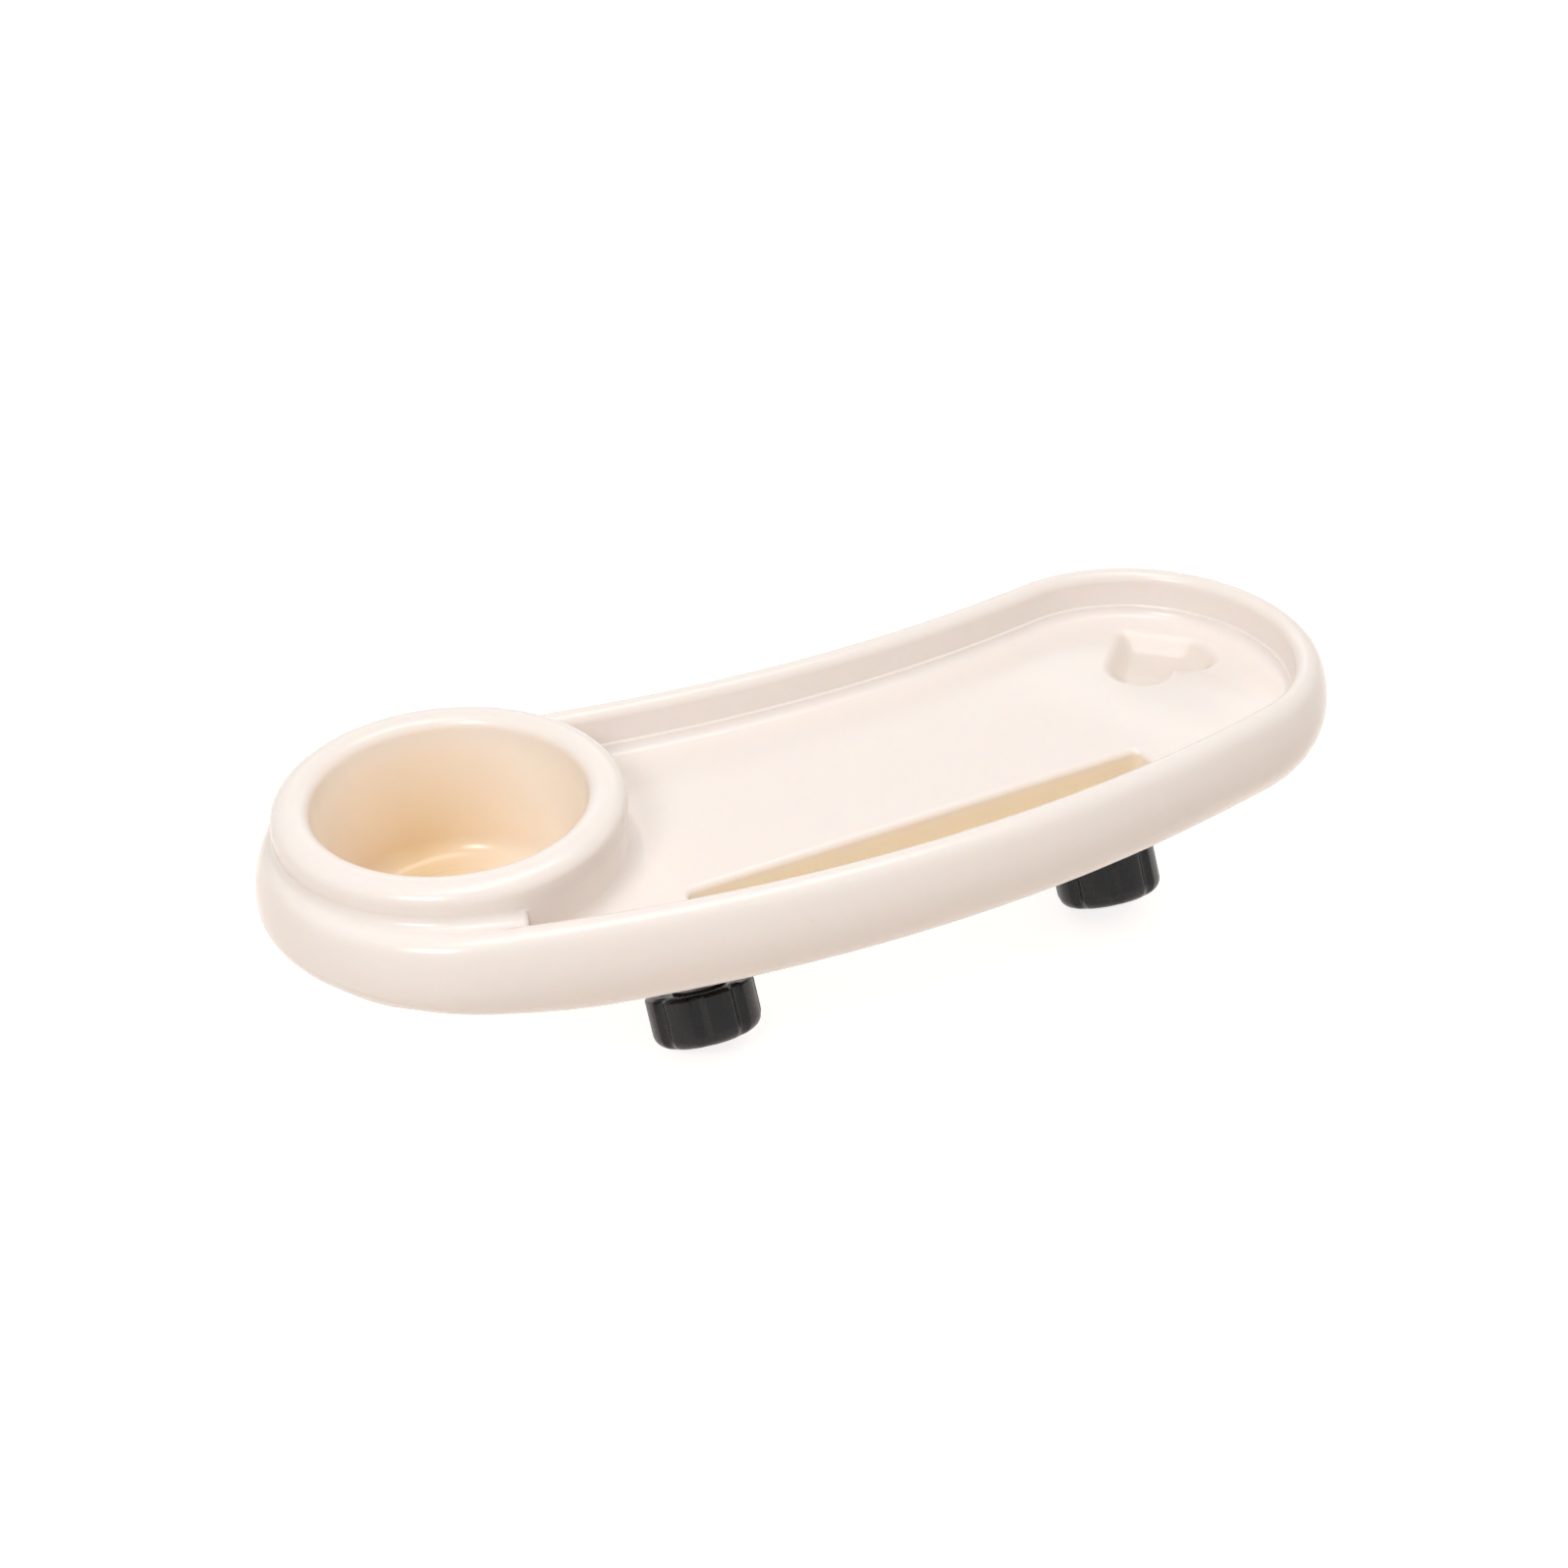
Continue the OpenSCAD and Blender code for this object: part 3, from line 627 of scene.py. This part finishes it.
def drumLine():
    c, wall, e = cupSizes, rimSizes["wall"], skirtSizes["edge"]
    r, low = c["drumR"], c["drumLow"]
    outTop, inTop = ((r + flare, c["drumTop"]) for flare in c["drumFlare"])
    outside = [outTop, (r, low + e)] + arc((r - e, low + e), e, 0, -90, 4)[1:]
    inside = arc((r - wall + e, low + e), e, 270, 180, 4) + [inTop]
    return outside + inside + [outTop]


def buildUnderside():
    u, c, deck = underSizes, cupSizes, rimSizes["deck"] - rimSizes["wall"]
    bm = bmesh.new()
    spunShape(bm, drumLine(), c["centre"], 96)
    stations, _ = outlineStations()
    top, bottom, half = deck + u["into"], deck - u["ribH"], u["ribT"] / 2

    def addRib(x0, x1, y0, y1):
        made = bmesh.ops.create_cube(bm, size=1)["verts"]
        bmesh.ops.scale(bm, vec=(x1 - x0, y1 - y0, top - bottom), verts=made)
        bmesh.ops.translate(bm, vec=((x0 + x1) / 2, (y0 + y1) / 2, (top + bottom) / 2), verts=made)

    def parts(lowEnd, highEnd, level):  # a rib is left out where the heart's recess cuts it
        gap = u["heartGaps"].get(level)
        return ((lowEnd, gap[0]), (gap[1], highEnd)) if gap else ((lowEnd, highEnd),)

    for y in u["ribYs"]:
        start = c["centre"][0] + math.sqrt(u["cupBack"] ** 2 - (y - c["centre"][1]) ** 2)
        for x0, x1 in parts(start, ribSpan(stations, 1, y)[1], y):
            addRib(x0, x1, y - half, y + half)
    for x in u["ribXs"]:
        back, front = ribSpan(stations, 0, x)
        for y0, y1 in parts(max(back, u["slotBack"]), front, x):
            addRib(x - half, x + half, y0, y1)
    r, wide, hole = u["postR"], u["postR"] + u["flare"], u["hole"]
    post = [(0, top), (wide, top), (wide, deck), (r, deck - u["flareH"]), (r, u["postLow"]),
            (hole, u["postLow"]), (hole, u["holeTop"]), (0, u["holeTop"])]
    for side in (-1, 1):
        for dx in (-u["postX"], u["postX"]):
            for y in u["postYs"]:
                spunShape(bm, post, (side * clampSizes["pitch"] / 2 + dx, y), 32)
    bmesh.ops.remove_doubles(bm, verts=bm.verts, dist=u["joined"])
    bmesh.ops.recalc_face_normals(bm, faces=bm.faces)
    return bm


makePiece("trayUnderside", buildUnderside(), cream, "tray")
print("underside made")


# Knobs, drawn upright and then leant as the screw is

knobSizes = {"r": 18.8, "top": -33.3, "low": -51.2, "edge": 5.0, "flutes": 8, "phase": 19.5, "halfWidth": 8.5,
             "depth": 1.3, "crown": 0.35, "segments": 240, "collarR": 9.0,
             "recess": ((9.2, -1.4), (13.5, -1.4), (13.8, 0.0)),
             "shoulder": ((-1.2, 0.0), (-0.5, -0.25), (0.0, -0.9)),
             "dish": ((-1.0, 0.0), (-1.8, 0.25), (-2.4, 0.7)), "hub": (4.0, 0.9),
             "sideAt": (0.35, 0.7, 1.0), "edgeAt": (12, 24, 36, 48, 60, 72, 82, 90), "fluteEnd": 95}


def screwFrame(side):
    lean = Matrix.Rotation(math.radians(-clampSizes["lean"]), 4, "X")
    return Matrix.Translation((side * clampSizes["pitch"] / 2, 0, 0)) @ lean


def buildKnob(side):
    k = knobSizes
    bm = bmesh.new()
    halfPitch = 180 / k["flutes"]

    def ringAt(radius, z, share):  # share is how much of the flutes shows
        out = []
        for i in range(k["segments"]):
            a = 360 * i / k["segments"]
            off = abs((a - k["phase"] + halfPitch) % (2 * halfPitch) - halfPitch)
            dip = k["depth"] * max(0.0, 1 - (off / k["halfWidth"]) ** 2)
            dip += k["crown"] * (1 - off / halfPitch) ** 2
            out.append((*polar((0, 0), radius - dip * share, a), z))
        return out

    low, top, r, e = k["low"], k["top"], k["r"], k["edge"]
    rings = [(radius, top + rise, 0) for radius, rise in k["recess"]]
    rings += [(r + grow, top + rise, 1) for grow, rise in k["shoulder"]]
    rings += [(r, top + (low + e - top) * t, 1) for t in k["sideAt"]]
    rings += [(*polar((r - e, low + e), e, -a), 1 - a / k["fluteEnd"]) for a in k["edgeAt"]]
    rings += [(r - e + grow, low + rise, 0) for grow, rise in k["dish"]]
    rings += [(k["hub"][0], low + k["hub"][1], 0)]
    ring = newLoop(bm, ringAt(k["collarR"], top, 0))
    for radius, z, share in rings:
        ring = pullLoop(bm, ring, ringAt(radius, z, share))
    bmesh.ops.edgeloop_fill(bm, edges=loopEdges(bm, ring))
    bmesh.ops.edgeloop_fill(bm, edges=[edge for edge in bm.edges if len(edge.link_faces) == 1])
    bmesh.ops.recalc_face_normals(bm, faces=bm.faces)
    bmesh.ops.transform(bm, matrix=screwFrame(side), verts=bm.verts)
    return bm


for word, side in (("left", -1), ("right", 1)):
    makePiece(word + "KnobGrip", buildKnob(side), finish["knobBlack"], word + "_knob_unit",
              (word + "_knob",), sharp=32)
print("knobs made")


# Floor, light and camera

stageLook = {"size": 3.6, "under": 0.1, "colour": (0.74, 0.655, 0.585, 1), "rough": 0.9, "glow": 0.80,
             "sky": (1.0, 0.925, 0.86, 1), "skyStrength": 0.51, "white": (1, 1, 1, 1)}
lamps = {
    "keySoftBox": {"where": (-0.70, -0.56, 0.78), "aim": (-0.02, 0, 0.03), "size": (0.32, 0.26),
                   "power": 3.9, "colour": (0.93, 0.965, 1.0)},
    "topSoftBox": {"where": (0.05, -0.10, 1.05), "aim": (0, 0, 0.03), "size": (0.9, 0.4),
                   "power": 4.1, "colour": (0.93, 0.965, 1.0)},
    "rearStrip": {"where": (0.35, 0.85, 0.55), "aim": (0, 0, 0.03), "size": (0.9, 0.15),
                  "power": 0.5, "colour": (1, 1, 1)},
}
cameraSizes = {"place": (-343.845, -570.991, 445.749), "right": (0.880002, -0.474881, -0.009243),
               "up": (0.264316, 0.473450, 0.840227), "back": (-0.394632, -0.741844, 0.542155),
               "lens": 53.148, "sensor": 36, "clip": (0.05, 20)}


def seenDirectly(tree):  # 1 for what the camera, a gloss or glass looks at, 0 for light on the object
    path = addNode(tree, "ShaderNodeLightPath")
    reflected = maths(tree, "MAXIMUM", path.outputs["Is Glossy Ray"], path.outputs["Is Transmission Ray"])
    return maths(tree, "MAXIMUM", path.outputs["Is Camera Ray"], reflected)


def makeFloor():
    look = stageLook
    m, tree, shader = newMaterial("paleFloor")
    setShader(shader, {"Base Color": look["colour"], "Roughness": look["rough"]})
    glow = addNode(tree, "ShaderNodeEmission")
    feed(tree, (glow.inputs["Color"], glow.inputs["Strength"]),
         (look["white"], maths(tree, "MULTIPLY", seenDirectly(tree), look["glow"])))
    both = addNode(tree, "ShaderNodeAddShader")
    feed(tree, both.inputs, (shader.outputs[0], glow.outputs[0]))
    tree.links.new(both.outputs[0], tree.nodes["Material Output"].inputs["Surface"])
    bm = bmesh.new()
    bmesh.ops.create_grid(bm, x_segments=1, y_segments=1, size=look["size"])
    low = min(v.co.z for v in bpy.data.objects["leftKnobGrip"].data.vertices)
    bmesh.ops.translate(bm, vec=(0, 0, low - look["under"] * mm), verts=bm.verts)
    mesh = bpy.data.meshes.new("floor")
    bm.to_mesh(mesh)
    bm.free()
    mesh.materials.append(m)
    floor = bpy.data.objects.new("floor", mesh)
    scene.collection.objects.link(floor)


def addLamp(name, look):
    data = bpy.data.lights.new(name, "AREA")
    data.shape = "RECTANGLE"
    data.size, data.size_y = look["size"]
    data.energy = look["power"]
    data.color = look["colour"]
    lamp = bpy.data.objects.new(name, data)
    lamp.location = look["where"]
    lamp.rotation_mode = "QUATERNION"
    lamp.rotation_quaternion = (Vector(look["aim"]) - Vector(look["where"])).to_track_quat("-Z", "Y")
    scene.collection.objects.link(lamp)


def makeWorld():
    look = stageLook
    world = bpy.data.worlds.new("studio")
    world.use_nodes = True
    tree = world.node_tree
    sky, seen = tree.nodes["Background"], seenDirectly(tree)
    tree.links.new(mixColour(tree, seen, look["sky"], look["white"]), sky.inputs["Color"])
    tree.links.new(mapRange(tree, seen, 0, 1, look["skyStrength"], 1.0), sky.inputs["Strength"])
    scene.world = world


def addCamera():
    s = cameraSizes
    data = bpy.data.cameras.new("camera")
    data.lens, data.sensor_width = s["lens"], s["sensor"]
    data.clip_start, data.clip_end = s["clip"]
    camera = bpy.data.objects.new("camera", data)
    turned = Matrix((s["right"], s["up"], s["back"])).transposed().to_4x4()
    camera.matrix_world = Matrix.Translation(Vector(s["place"]) * mm) @ turned
    scene.collection.objects.link(camera)
    scene.camera = camera


makeFloor()
for name, look in lamps.items():
    addLamp(name, look)
makeWorld()
addCamera()
print("stage set")

bpy.context.view_layer.update()
